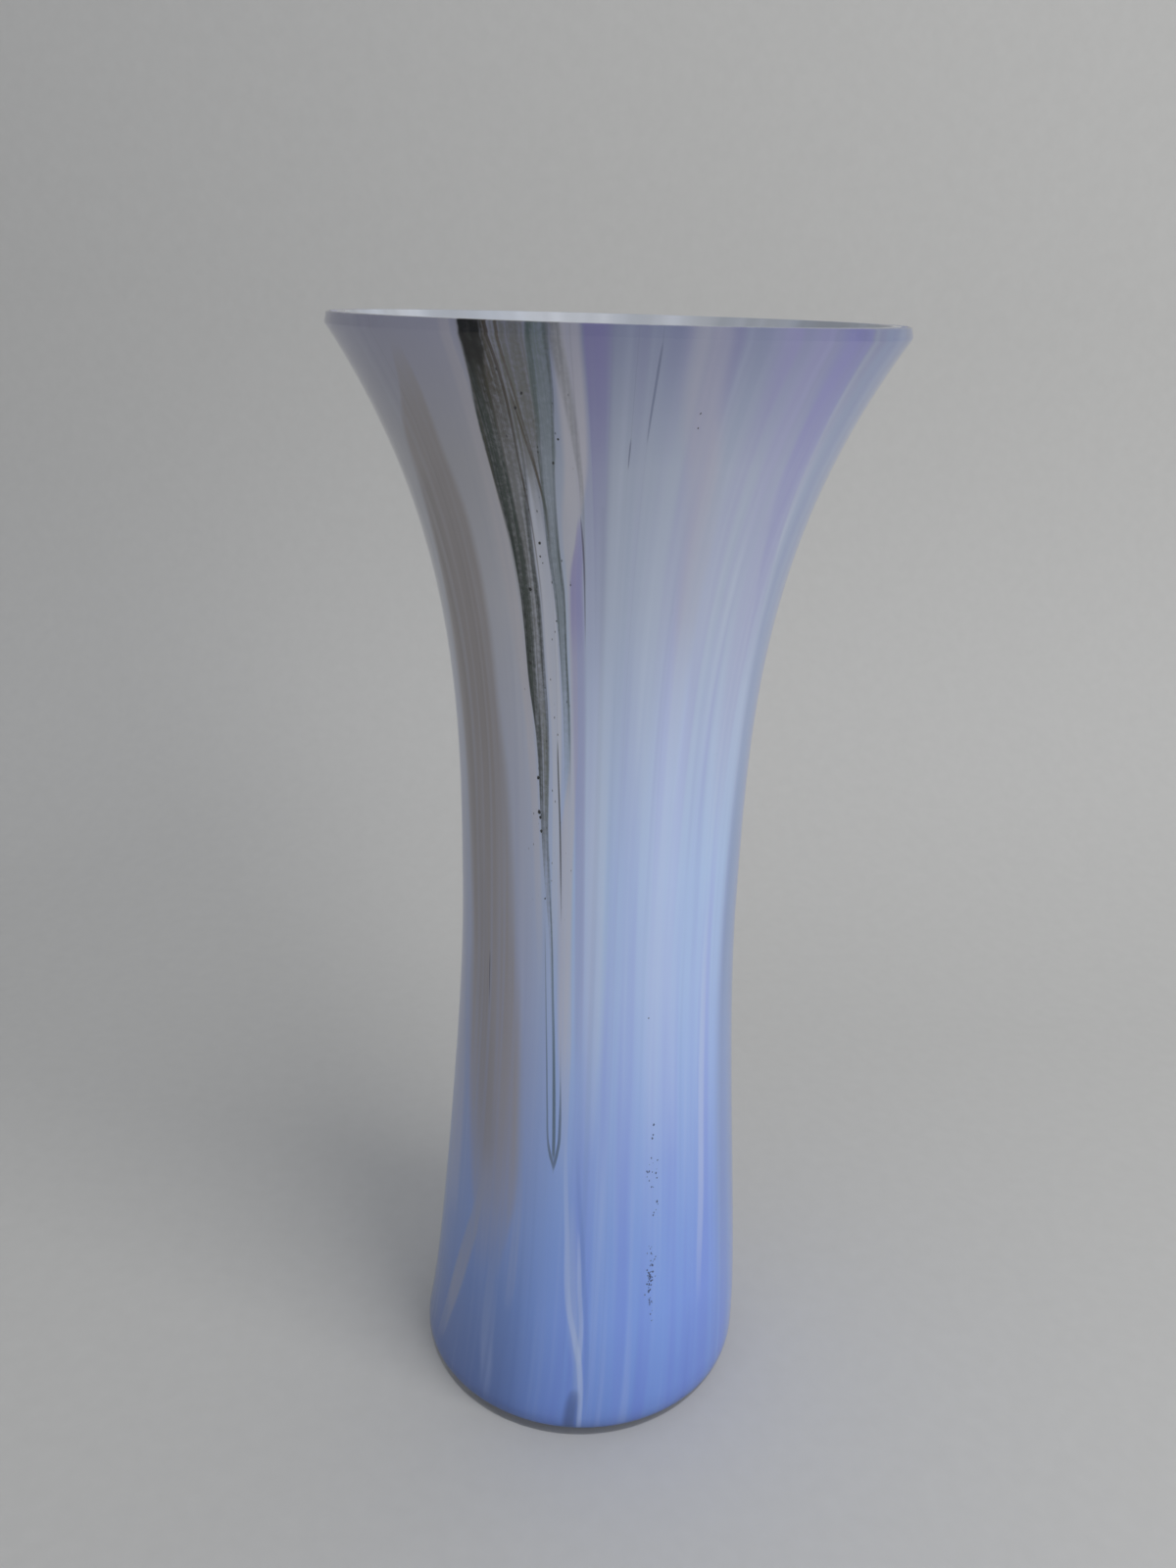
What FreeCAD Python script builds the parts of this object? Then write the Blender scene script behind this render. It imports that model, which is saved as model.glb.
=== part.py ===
import FreeCAD
import Part
import math
import os

# A hand blown art glass vase: a tall waisted cylinder that flares into a trumpet mouth. Its wall is built
# up in gathers. An opal lining holds the water, a skin of blue glass lies round it with strips and chips
# of other colours let into that skin, and a clear casing covers the colours, the foot and the outside.
# Millimetres. The origin is the middle of the foot, on the surface the vase stands on, and +Z is up.
# Azimuths are in degrees round +Z from the front (-Y), and count up towards +X.

# Driving dimensions of the outside
HEIGHT = 300.0
WAIST_RADIUS = 37.7
WAIST_HEIGHT = 153.4
FOOT_GAIN = 10.3        # how much wider the foot is than the waist, on the radius
FOOT_ROUNDING = 0.28    # how softly the foot's slope turns into the waist
FLARE_GAIN = 31.6       # how much wider the mouth is than the waist, on the radius
FLARE_POWER = 3.1       # how late the flare opens
BEVEL_HEIGHT = 2.4      # the ground facet round the outside of the rim
BEVEL_DEPTH = 0.5
HEEL_WIDTH = 4.6        # the rounding between the foot and the wall
HEEL_HEIGHT = 8.4

# How deep each face of the wall lies under the outside, square to it, and the height of its floor.
# The casing lies between the outside and the skin's face, and so on inwards.
SKIN_FACE = {"depth": 2.4, "floor": 2.8, "corner": 5.2}
LINING_FACE = {"depth": 3.5, "floor": 4.0, "corner": 5.7}
HOLLOW_FACE = {"depth": 5.0, "floor": 14.0, "corner": 12.0}

# The ground and polished mark that the iron leaves under the foot
PONTIL_RADIUS = 15.0
PONTIL_DEPTH = 1.0

STATIONS = 13           # points on the curve of the wall
OVERSHOOT = 4.0         # how far a cutting tool runs past the rim
TOOL_REACH = 90.0       # how far out a cutting tool goes, wider than the mouth
TOOL_CORE = 12.0        # where it starts, inside the hollow

# Strips let into the blue skin, from the top down: height, azimuth of the middle, width in degrees
STRIPS = {
    "dark_trail": [(304, -23.8, 7.4), (286, -25.2, 8.2), (258, -24.2, 8.0), (228, -23.6, 7.6),
                   (206, -22.3, 4.4), (196, -21.9, 3.2), (172, -20.9, 2.2)],
    "green_trail": [(304, -13.6, 5.6), (272, -15.0, 5.0), (254, -16.2, 3.4), (221, -14.0, 4.0),
                    (194, -12.8, 2.4)],
    "violet_stripe": [(304, -3.3, 4.9), (284, -3.4, 4.4), (264, -3.0, 2.6)],
    "violet_thread": [(263, -8.0, 1.5), (246, -8.4, 3.2), (222, -8.8, 4.6), (185, -8.2, 4.4),
                      (140, -6.8, 3.0)],
    "rose_veil": [(304, 15.0, 9.0), (268, 22.0, 11.0), (230, 25.0, 8.0), (190, 26.0, 3.0)],
    "lavender_panel": [(304, 38.0, 29.0), (288, 43.0, 24.0), (262, 47.0, 16.0), (225, 52.0, 11.0),
                       (150, 50.0, 5.0)],
    "smoke_band": [(290, -47.0, 2.0), (263, -55.0, 18.0), (218, -60.0, 32.0), (150, -52.0, 38.0),
                   (105, -45.0, 24.0), (74, -42.0, 8.0)],
    "milky_wisp": [(95, -9.0, 0.9), (50, -3.0, 1.8), (12, 0.6, 1.8)],
}

# Pale veils that fan out to the left at the foot
FOOT_VEILS = [
    [(70, -46.5, 2.5), (53, -52.3, 6.0), (37, -57.1, 7.0), (16, -64.0, 5.0)],
    [(57, -37.1, 1.5), (43, -39.2, 4.0), (26, -42.0, 4.5)],
    [(72, -28.3, 2.5), (60, -29.6, 4.0), (49, -30.5, 2.0)],
]

# The drawn loop is a strip with a narrower one taken out of it, open at the top
LOOP_OUTSIDE = [(160, -17.6, 7.4), (130, -16.5, 7.2), (100, -15.1, 6.2), (88, -14.3, 1.6)]
LOOP_INSIDE = [(161, -17.6, 5.0), (130, -16.5, 4.8), (100, -15.1, 3.8), (94, -14.7, 1.2)]

# Chips of dark glass in the skin's face: height, azimuth
FRONT_CHIPS = [(255, -18.9), (244, -23.4), (226, -26.0), (197, -24.6), (188, -24.3), (183, -23.6)]
FRONT_CHIP_RADIUS = 0.6
TRAIL_CHIPS = [(100, 24.9), (96, 24.0), (90, 24.6), (85, 23.4), (84, 26.1), (79, 24.6), (75, 25.8),
               (70, 24.5), (57, 24.0), (53, 25.6), (50, 23.4), (46, 24.9), (42, 23.4)]
TRAIL_CHIP_RADIUS = 0.8
CHIP_DEPTH = 0.6        # how deep a chip sits in the skin


def wall_radius(z):
    """Radius of the vase's outside at height z, before the heel is rounded and the rim ground."""
    below = max(0.0, (WAIST_HEIGHT - z) / WAIST_HEIGHT)
    above = max(0.0, (z - WAIST_HEIGHT) / (HEIGHT - WAIST_HEIGHT))
    soft = math.hypot(below, FOOT_ROUNDING) - FOOT_ROUNDING
    full = math.hypot(1.0, FOOT_ROUNDING) - FOOT_ROUNDING
    return WAIST_RADIUS + FOOT_GAIN * soft / full + FLARE_GAIN * above ** FLARE_POWER


def face_radius(z, depth):
    """Radius at height z of a face that lies depth under the outside, square to the wall."""
    step = 0.01
    slope = (wall_radius(z + step) - wall_radius(z - step)) / (2.0 * step)
    return wall_radius(z) - depth * math.hypot(1.0, slope)


def wall_curve(low, high, depth):
    """The wall's line at a depth, from height low to height high, in the XZ plane."""
    heights = [low + (high - low) * i / (STATIONS - 1) for i in range(STATIONS)]
    curve = Part.BSplineCurve()
    curve.interpolate([FreeCAD.Vector(face_radius(z, depth), 0, z) for z in heights])
    return curve.toShape()


def turned(edges):
    """A solid turned about Z from a closed run of edges in the XZ plane."""
    face = Part.Face(Part.Wire(edges))
    return face.revolve(FreeCAD.Vector(), FreeCAD.Vector(0, 0, 1), 360)


def corner_curve(floor, wall_start, width):
    """The rounding from a flat floor up into the wall, which leaves the wall at wall_start."""
    outer_foot = FreeCAD.Vector(wall_start.x, 0, floor)
    inner_foot = FreeCAD.Vector(wall_start.x - width, 0, floor)
    curve = Part.BezierCurve()
    curve.setPoles([inner_foot, outer_foot, wall_start])
    return curve.toShape()


def plug(wall, floor, corner_width, rim_edges):
    """The solid inside one line of the wall, closed by a flat floor and by the edges over its rim."""
    wall_start = wall.valueAt(wall.FirstParameter)
    corner = corner_curve(floor, wall_start, corner_width)
    centre = FreeCAD.Vector(0, 0, floor)
    bottom = Part.LineSegment(centre, corner.valueAt(corner.FirstParameter)).toShape()
    top_height = rim_edges[-1].valueAt(rim_edges[-1].LastParameter).z
    axis = Part.LineSegment(FreeCAD.Vector(0, 0, top_height), centre).toShape()
    return turned([bottom, corner, wall] + rim_edges + [axis])


def rim_line(start, end):
    return Part.LineSegment(start, end).toShape()


def outside_plug():
    """Everything inside the vase's outside, with the heel rounded and the rim's facet ground."""
    facet_height = HEIGHT - BEVEL_HEIGHT
    facet_foot = FreeCAD.Vector(wall_radius(facet_height), 0, facet_height)
    rim = FreeCAD.Vector(facet_foot.x - BEVEL_DEPTH, 0, HEIGHT)
    wall = wall_curve(HEEL_HEIGHT, facet_height, 0.0)
    edges = [rim_line(facet_foot, rim), rim_line(rim, FreeCAD.Vector(0, 0, HEIGHT))]
    return plug(wall, 0.0, HEEL_WIDTH, edges)


def inner_plug(face, top):
    """Everything inside one of the wall's inner faces, up to the height top."""
    rim = FreeCAD.Vector(face_radius(top, face["depth"]), 0, top)
    wall = wall_curve(face["floor"] + face["corner"], top, face["depth"])
    return plug(wall, face["floor"], face["corner"], [rim_line(rim, FreeCAD.Vector(0, 0, top))])


def gather(outer, inner_face):
    """One gather of glass: the outer solid less what lies inside its inner face."""
    return outer.cut(inner_plug(inner_face, HEIGHT + OVERSHOOT))


def sector(height, middle, width):
    """A four-sided outline at one height, between two azimuths."""
    corners = []
    for radius, side in ((TOOL_CORE, -0.5), (TOOL_REACH, -0.5), (TOOL_REACH, 0.5), (TOOL_CORE, 0.5)):
        azimuth = math.radians(middle + side * width)
        corners.append(FreeCAD.Vector(radius * math.sin(azimuth), -radius * math.cos(azimuth), height))
    return Part.makePolygon(corners + corners[:1])


def strip_tool(stations):
    """A cutting tool that follows a strip's azimuth and width down the wall."""
    return Part.makeLoft([sector(*station) for station in stations], True, True)


def chip_tool(height, azimuth, radius):
    """A round bit square to the skin, which leaves a flat chip of glass in the skin's face."""
    reach = face_radius(height, SKIN_FACE["depth"]) - CHIP_DEPTH
    angle = math.radians(azimuth)
    outward = FreeCAD.Vector(math.sin(angle), -math.cos(angle), 0)
    return Part.makeCylinder(radius, OVERSHOOT, outward * reach + FreeCAD.Vector(0, 0, height), outward)


def inlay_tools():
    """The cutting tools of each inlay, by the inlay's name."""
    tools = {name: [strip_tool(stations)] for name, stations in STRIPS.items()}
    tools["foot_veils"] = [strip_tool(stations) for stations in FOOT_VEILS]
    tools["drawn_loop"] = [strip_tool(LOOP_OUTSIDE).cut(strip_tool(LOOP_INSIDE))]
    tools["front_chips"] = [chip_tool(z, azimuth, FRONT_CHIP_RADIUS) for z, azimuth in FRONT_CHIPS]
    tools["trail_chips"] = [chip_tool(z, azimuth, TRAIL_CHIP_RADIUS) for z, azimuth in TRAIL_CHIPS]
    return tools


def clear_casing():
    casing = gather(outside_plug(), SKIN_FACE)
    ball_radius = (PONTIL_RADIUS ** 2 + PONTIL_DEPTH ** 2) / (2.0 * PONTIL_DEPTH)
    ball = Part.makeSphere(ball_radius, FreeCAD.Vector(0, 0, PONTIL_DEPTH - ball_radius))
    return casing.cut(ball)


def skin_and_inlays():
    """The blue skin with each inlay's place cut out of it, and the inlays that fill those places."""
    whole_skin = gather(inner_plug(SKIN_FACE, HEIGHT), LINING_FACE)
    tools_by_name = inlay_tools()
    pieces = {}
    for name, tools in tools_by_name.items():
        solids = [solid for tool in tools for solid in whole_skin.common(tool).Solids]
        if name == "dark_trail":
            solids = [solid.cut(tools_by_name["front_chips"]) for solid in solids]
        pieces[name] = Part.makeCompound(solids)
    every_tool = [tool for tools in tools_by_name.values() for tool in tools]
    pieces["blue_skin"] = whole_skin.cut(every_tool)
    return pieces


def vase():
    parts = {
        "clear_casing": clear_casing(),
        "opal_lining": gather(inner_plug(LINING_FACE, HEIGHT), HOLLOW_FACE),
    }
    parts.update(skin_and_inlays())
    return parts


os.makedirs("parts", exist_ok=True)
for name, shape in vase().items():
    solids = shape.Solids
    volume = sum(solid.Volume for solid in solids)
    print(f"{name}: {len(solids)} solid(s), {volume / 1000.0:.2f} cm3, valid {shape.isValid()}")
    shape.exportStep(f"parts/{name}.step")
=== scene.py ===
import math
import random

import bmesh
import bpy
from mathutils import Matrix, Vector
from mathutils.geometry import delaunay_2d_cdt


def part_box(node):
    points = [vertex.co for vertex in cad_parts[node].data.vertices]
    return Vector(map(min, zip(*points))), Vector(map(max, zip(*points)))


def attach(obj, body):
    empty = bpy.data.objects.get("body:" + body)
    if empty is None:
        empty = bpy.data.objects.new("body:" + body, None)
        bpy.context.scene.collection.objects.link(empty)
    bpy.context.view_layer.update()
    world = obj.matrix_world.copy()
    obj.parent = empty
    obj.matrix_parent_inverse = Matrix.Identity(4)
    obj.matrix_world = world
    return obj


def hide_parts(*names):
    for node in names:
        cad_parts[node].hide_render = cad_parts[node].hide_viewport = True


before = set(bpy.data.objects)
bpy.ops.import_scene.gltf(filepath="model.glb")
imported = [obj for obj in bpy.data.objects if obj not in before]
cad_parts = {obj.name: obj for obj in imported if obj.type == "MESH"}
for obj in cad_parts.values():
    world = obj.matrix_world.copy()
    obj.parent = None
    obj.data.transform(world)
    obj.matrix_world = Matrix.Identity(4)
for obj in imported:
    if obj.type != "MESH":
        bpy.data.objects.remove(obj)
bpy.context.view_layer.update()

# A hand blown art glass vase. Metres, with the origin in the middle of the foot and +Z up.
# Azimuths are in degrees round +Z from the front (-Y), and count up towards +X.

CASING_LOW, CASING_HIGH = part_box("clear_casing")
HEIGHT = CASING_HIGH.z - CASING_LOW.z
DRAWN_HEIGHT = 300.0        # the sizes and heights below are for a vase this high, in mm
MM = HEIGHT / DRAWN_HEIGHT

# ---------------------------------------------------------------- sizes

WAIST_RADIUS = 37.7 * MM
WAIST_HEIGHT = 153.4 * MM
FOOT_GAIN = 10.3 * MM
FOOT_ROUNDING = 0.28
FLARE_GAIN = 31.6 * MM
FLARE_POWER = 3.1
BEVEL_HEIGHT = 2.4 * MM
BEVEL_DEPTH = 0.5 * MM
HEEL_WIDTH = 4.6 * MM
HEEL_HEIGHT = 8.4 * MM
PONTIL_RADIUS = 15.0 * MM   # the polished mark that the iron leaves under the foot
PONTIL_DEPTH = 1.0 * MM
SHARP_ANGLE = math.radians(35.0)
EDGE_ROUNDING = 0.25 * MM   # how softly the ground rim's edges are polished
JOINT_GAP = 0.04 * MM       # keeps the faces of neighbouring gathers apart

# Each inner face of the wall: how deep it lies, and its floor and the corner between them
SKIN_FACE = {"depth": 2.4 * MM, "floor": 2.8 * MM, "corner": 5.2 * MM}
LINING_FACE = {"depth": 3.5 * MM, "floor": 4.0 * MM, "corner": 5.7 * MM}
HOLLOW_FACE = {"depth": 5.0 * MM, "floor": 14.0 * MM, "corner": 12.0 * MM}

# The foot set down a little off the axis while the glass was soft
FOOT_DRIFT = -2.8 * MM
FOOT_DRIFT_FADE = 18.0 * MM

# How far the wall is out of round, as a share of its radius: an oval part and a three-sided part
OVAL_SWELL = 0.0022
THREE_SIDED_SWELL = 0.0012

# The camera: where it stands, its angles in degrees and its lens in mm
CAMERA_DISTANCE = 317.2 * MM
CAMERA_HEIGHT = 305.2 * MM
CAMERA_PITCH = 21.11
CAMERA_ROLL = 1.64
CAMERA_YAW = -0.716
CAMERA_LENS = 29.19


def add_camera():
    """The camera looks down on the vase from just over the height of its rim, rolled a little."""
    pitch, roll, yaw = (math.radians(a) for a in (CAMERA_PITCH, CAMERA_ROLL, CAMERA_YAW))
    forward = Vector((math.sin(yaw) * math.cos(pitch), math.cos(yaw) * math.cos(pitch), -math.sin(pitch)))
    level_right = Vector((math.cos(yaw), -math.sin(yaw), 0.0))
    level_up = level_right.cross(forward)
    right = level_right * math.cos(roll) + level_up * math.sin(roll)
    up = level_up * math.cos(roll) - level_right * math.sin(roll)
    data = bpy.data.cameras.new("camera")
    data.lens = CAMERA_LENS
    data.clip_start = 0.01
    camera = bpy.data.objects.new("camera", data)
    turn = Matrix((right, up, -forward)).transposed().to_4x4()
    camera.matrix_world = Matrix.Translation((0.0, -CAMERA_DISTANCE, CAMERA_HEIGHT)) @ turn
    bpy.context.scene.collection.objects.link(camera)
    bpy.context.scene.camera = camera


add_camera()

# ---------------------------------------------------------------- the outline


def wall_radius(z):
    """Radius of the vase's outside at height z, before the heel is rounded and the rim ground."""
    below = max(0.0, (WAIST_HEIGHT - z) / WAIST_HEIGHT)
    above = max(0.0, (z - WAIST_HEIGHT) / (HEIGHT - WAIST_HEIGHT))
    soft = math.hypot(below, FOOT_ROUNDING) - FOOT_ROUNDING
    full = math.hypot(1.0, FOOT_ROUNDING) - FOOT_ROUNDING
    return WAIST_RADIUS + FOOT_GAIN * soft / full + FLARE_GAIN * above ** FLARE_POWER


def face_radius(z, depth):
    """Radius at height z of a face that lies depth under the outside, square to the wall."""
    step = 0.01 * MM
    slope = (wall_radius(z + step) - wall_radius(z - step)) / (2.0 * step)
    return wall_radius(z) - depth * math.hypot(1.0, slope)


def spread(low, high, count):
    """count numbers, evenly spaced from low to high."""
    return [low + (high - low) * i / (count - 1) for i in range(count)]


def arc_points(start, corner, end, count):
    """Points of the curve that leaves start towards corner and comes into end from it."""
    points = []
    for t in spread(0.0, 1.0, count):
        a, b, c = (1 - t) ** 2, 2 * t * (1 - t), t ** 2
        points.append(tuple(a * start[k] + b * corner[k] + c * end[k] for k in (0, 1)))
    return points


def inner_outline(face, rows, shift=0.0):
    """One inner face as (radius, height) points, from the middle of its floor up to the rim."""
    depth, floor = face["depth"] + shift, face["floor"] + shift
    wall_foot = floor + face["corner"]
    foot_radius = face_radius(wall_foot, depth)
    corner_start = (foot_radius - face["corner"], floor)
    corner = arc_points(corner_start, (foot_radius, floor), (foot_radius, wall_foot), 9)
    flat = [(r, floor) for r in spread(0.0, corner[0][0], 6)[:-1]]
    wall = [(face_radius(z, depth), z) for z in spread(wall_foot, HEIGHT, rows)[1:]]
    return flat + corner + wall


def outside_outline(rows):
    """The outside as (radius, height) points, from the middle of the foot up to the rim's outer edge."""
    pontil = [(r, PONTIL_DEPTH * (1 - (r / PONTIL_RADIUS) ** 2)) for r in spread(0.0, PONTIL_RADIUS, 9)]
    heel_radius = wall_radius(HEEL_HEIGHT)
    heel_start = (heel_radius - HEEL_WIDTH, 0.0)
    heel = arc_points(heel_start, (heel_radius, 0.0), (heel_radius, HEEL_HEIGHT), 14)
    flat = [(r, 0.0) for r in spread(PONTIL_RADIUS, heel[0][0], 5)[1:-1]]
    facet = HEIGHT - BEVEL_HEIGHT
    wall = [(wall_radius(z), z) for z in spread(HEEL_HEIGHT, facet - EDGE_ROUNDING, rows)[1:]]
    facet_foot = (wall_radius(facet), facet)
    facet_top = (facet_foot[0] - BEVEL_DEPTH, HEIGHT)
    start = (facet_foot[0] - BEVEL_DEPTH * EDGE_ROUNDING / BEVEL_HEIGHT, facet + EDGE_ROUNDING)
    below_top = (facet_top[0] + BEVEL_DEPTH * EDGE_ROUNDING / BEVEL_HEIGHT, HEIGHT - EDGE_ROUNDING)
    edge = arc_points(wall[-1], facet_foot, start, 4)[1:]
    halfway = ((start[0] + below_top[0]) / 2, (start[1] + below_top[1]) / 2)
    facet_rows = arc_points(start, halfway, below_top, 7)[1:-1]
    polished = arc_points(below_top, facet_top, (facet_top[0] - EDGE_ROUNDING, HEIGHT), 4)
    return pontil + flat + heel + wall + edge + facet_rows + polished


# ---------------------------------------------------------------- meshes


def blown(x, y, z):
    """Where a point of the turned shape went as the vase was blown and set down."""
    azimuth = math.atan2(x, -y)
    free = math.sin(math.pi * z / HEIGHT) ** 2
    oval = OVAL_SWELL * math.sin(2 * azimuth + 0.7 + 3.0 * z / HEIGHT)
    three_sided = THREE_SIDED_SWELL * math.sin(3 * azimuth + 2.1 - 9.0 * z / HEIGHT)
    swell = 1.0 + free * (oval + three_sided)
    drift = FOOT_DRIFT * math.exp(-z / FOOT_DRIFT_FADE)
    return Vector((x * swell + drift, y * swell, z))


def add_piece(name, bm, node, materials):
    """Makes the piece that stands for a CAD node from a bmesh."""
    for vert in bm.verts:
        vert.co = blown(*vert.co)
    bmesh.ops.recalc_face_normals(bm, faces=bm.faces)
    for edge in bm.edges:
        edge.smooth = edge.calc_face_angle() < SHARP_ANGLE
    mesh = bpy.data.meshes.new(name)
    bm.to_mesh(mesh)
    bm.free()
    mesh.polygons.foreach_set("use_smooth", [True] * len(mesh.polygons))
    piece = bpy.data.objects.new(name, mesh)
    bpy.context.scene.collection.objects.link(piece)
    for material in materials:
        mesh.materials.append(material)
    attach(piece, "root")
    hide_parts(node)
    return piece


def turned_mesh(outline, columns):
    """A closed bmesh turned about Z from (radius, height) points that start and end on the axis."""
    bm = bmesh.new()
    rings = []
    for radius, z in outline:
        if radius < 1e-7:
            rings.append([bm.verts.new((0.0, 0.0, z))] * columns)
            continue
        ring = []
        for k in range(columns):
            azimuth = 2 * math.pi * k / columns
            ring.append(bm.verts.new((radius * math.sin(azimuth), -radius * math.cos(azimuth), z)))
        rings.append(ring)
    for low, high in zip(rings, rings[1:]):
        for k in range(columns):
            n = (k + 1) % columns
            corners = dict.fromkeys((low[k], low[n], high[n], high[k]))
            bm.faces.new(corners)
    return bm


# ---------------------------------------------------------------- strips and chips in the skin

# From the top down: height in mm, azimuth of the middle, width in degrees
STRIPS = {
    "dark_trail": [(300, -24.0, 7.6), (286, -25.2, 8.2), (258, -24.2, 8.0), (228, -23.6, 7.6),
                   (206, -22.3, 4.4), (196, -21.9, 3.2), (172, -20.9, 2.2)],
    "green_trail": [(300, -13.8, 5.5), (272, -15.0, 5.0), (254, -16.2, 3.4), (221, -14.0, 4.0),
                    (194, -12.8, 2.4)],
    "violet_stripe": [(300, -3.3, 4.9), (284, -3.4, 4.4), (264, -3.0, 2.6)],
    "violet_thread": [(263, -8.0, 1.5), (246, -8.4, 3.2), (222, -8.8, 4.6), (185, -8.2, 4.4),
                      (140, -6.8, 3.0)],
    "rose_veil": [(300, 15.5, 9.0), (268, 22.0, 11.0), (230, 25.0, 8.0), (190, 26.0, 3.0)],
    "lavender_panel": [(300, 38.5, 28.0), (288, 43.0, 24.0), (262, 47.0, 16.0), (225, 52.0, 11.0),
                       (150, 50.0, 5.0)],
    "smoke_band": [(290, -47.0, 2.0), (263, -55.0, 18.0), (218, -60.0, 32.0), (150, -52.0, 38.0),
                   (105, -45.0, 24.0), (74, -42.0, 8.0)],
    "milky_wisp": [(95, -9.0, 0.9), (50, -3.0, 1.8), (12, 0.6, 1.8)],
}
FOOT_VEILS = [
    [(70, -46.5, 2.5), (53, -52.3, 6.0), (37, -57.1, 7.0), (16, -64.0, 5.0)],
    [(57, -37.1, 1.5), (43, -39.2, 4.0), (26, -42.0, 4.5)],
    [(72, -28.3, 2.5), (60, -29.6, 4.0), (49, -30.5, 2.0)],
]
LOOP_OUTSIDE = [(160, -17.6, 7.4), (130, -16.5, 7.2), (100, -15.1, 6.2), (88, -14.3, 1.6)]
LOOP_INSIDE = [(160, -17.6, 5.0), (130, -16.5, 4.8), (100, -15.1, 3.8), (94, -14.7, 1.2)]

# Chips of frit: height, azimuth, half their width in mm, and how many grains lie round the place
FRONT_CHIPS = [(255, -19.3, 0.36, 1), (244, -23.8, 0.4, 1), (226, -26.2, 0.44, 2), (197, -24.6, 0.4, 1),
               (188, -24.3, 0.48, 2), (183, -23.4, 0.36, 1), (287, -18.2, 0.3, 1), (284, -20.1, 0.34, 1),
               (273, -13.5, 0.28, 1), (278, -11.9, 0.26, 1), (252, -19.6, 0.22, 2), (237, -16.0, 0.2, 2),
               (284, 17.0, 0.18, 1), (281, 17.2, 0.18, 1), (132, 22.0, 0.2, 1), (165, -21.6, 0.24, 1)]
TRAIL_CHIPS = [(100, 25.3, 0.36, 1), (96, 24.7, 0.34, 2), (90, 24.5, 0.24, 2), (86, 23.6, 0.26, 5),
               (85, 26.6, 0.28, 5), (81, 24.7, 0.26, 5), (76, 27.2, 0.3, 2), (72, 25.6, 0.24, 3),
               (60, 25.0, 0.26, 6), (56, 25.5, 0.3, 9), (53, 24.6, 0.34, 14), (51, 25.1, 0.34, 12),
               (48, 24.3, 0.32, 12), (44, 24.6, 0.26, 6), (40, 25.2, 0.22, 4)]
CHIP_SIDES = 7
CHIP_TALLNESS = 1.35        # how much taller than wide a grain is
SCATTER_AZIMUTH, SCATTER_HEIGHT = 0.75, 1.9     # how far grains stray, in degrees and mm

STRIP_ROW = 2.0 * MM        # spacing of points down a strip's edge
SKIN_COLUMNS = 144
SKIN_ROWS = 116
SKIN_WALL_FOOT = LINING_FACE["floor"] + LINING_FACE["corner"] + JOINT_GAP
FLAT_SCALE = 0.7 * MM       # the skin is laid out flat with this much width to a degree


def smooth_between(stations, z):
    """Azimuth and width of a strip at height z, on a smooth curve through its stations."""
    heights = [h * MM for h, _, _ in stations]
    i = max(k for k in range(len(stations) - 1) if z <= heights[k] + 1e-9)
    t = (heights[i] - z) / (heights[i] - heights[i + 1])
    upper, lower = stations[i], stations[i + 1]
    before, after = stations[max(i - 1, 0)], stations[min(i + 2, len(stations) - 1)]
    span = upper[0] - lower[0]
    values = []
    for k in (1, 2):
        a, b = upper[k], lower[k]
        reach_a = (b - before[k]) / max(before[0] - lower[0], 1) * span
        reach_b = (after[k] - a) / max(upper[0] - after[0], 1) * span
        values.append((2 * t ** 3 - 3 * t ** 2 + 1) * a + (t ** 3 - 2 * t ** 2 + t) * reach_a
                      + (3 * t ** 2 - 2 * t ** 3) * b + (t ** 3 - t ** 2) * reach_b)
    return values


def strip_edges(stations):
    """The left and the right edge of a strip, from the top down, as (azimuth, height) points."""
    top, bottom = stations[0][0] * MM, stations[-1][0] * MM
    rows = max(3, round((top - bottom) / STRIP_ROW))
    left, right = [], []
    for z in spread(top, bottom, rows):
        middle, width = smooth_between(stations, z)
        left.append((middle - width / 2, z))
        right.append((middle + width / 2, z))
    return left, right


def strip_outline(stations):
    """A strip's closed outline."""
    left, right = strip_edges(stations)
    return left + right[::-1]


def loop_outline():
    """The drawn loop's closed outline: down its outside, and back up its inside."""
    outer_left, outer_right = strip_edges(LOOP_OUTSIDE)
    inner_left, inner_right = strip_edges(LOOP_INSIDE)
    return outer_left + outer_right[::-1] + inner_right + inner_left[::-1]


def grain_outline(chance, height, azimuth, radius):
    """An uneven grain, a little taller than it is wide."""
    z = height * MM
    across = math.degrees(radius * MM / face_radius(z, SKIN_FACE["depth"]))
    points = []
    for k in range(CHIP_SIDES):
        turn = 2 * math.pi * k / CHIP_SIDES
        reach = chance.uniform(0.65, 1.15)
        up = CHIP_TALLNESS * reach * radius * MM * math.sin(turn)
        points.append((azimuth + reach * across * math.cos(turn), z + up))
    return points


def chip_outlines(chips, seed):
    """Each chip's own grain, and smaller ones scattered round it."""
    chance = random.Random(seed)
    outlines = []
    for height, azimuth, radius, count in chips:
        outlines.append(grain_outline(chance, height, azimuth, radius))
        for _ in range(count - 1):
            place = (height + chance.gauss(0, SCATTER_HEIGHT), azimuth + chance.gauss(0, SCATTER_AZIMUTH))
            outlines.append(grain_outline(chance, *place, radius * chance.uniform(0.4, 0.9)))
    return outlines


def inlay_outlines():
    """Outlines of every inlay, by the inlay's name."""
    outlines = {name: [strip_outline(stations)] for name, stations in STRIPS.items()}
    outlines["foot_veils"] = [strip_outline(stations) for stations in FOOT_VEILS]
    outlines["drawn_loop"] = [loop_outline()]
    outlines["front_chips"] = chip_outlines(FRONT_CHIPS, 3)
    outlines["trail_chips"] = chip_outlines(TRAIL_CHIPS, 7)
    return outlines


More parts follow.
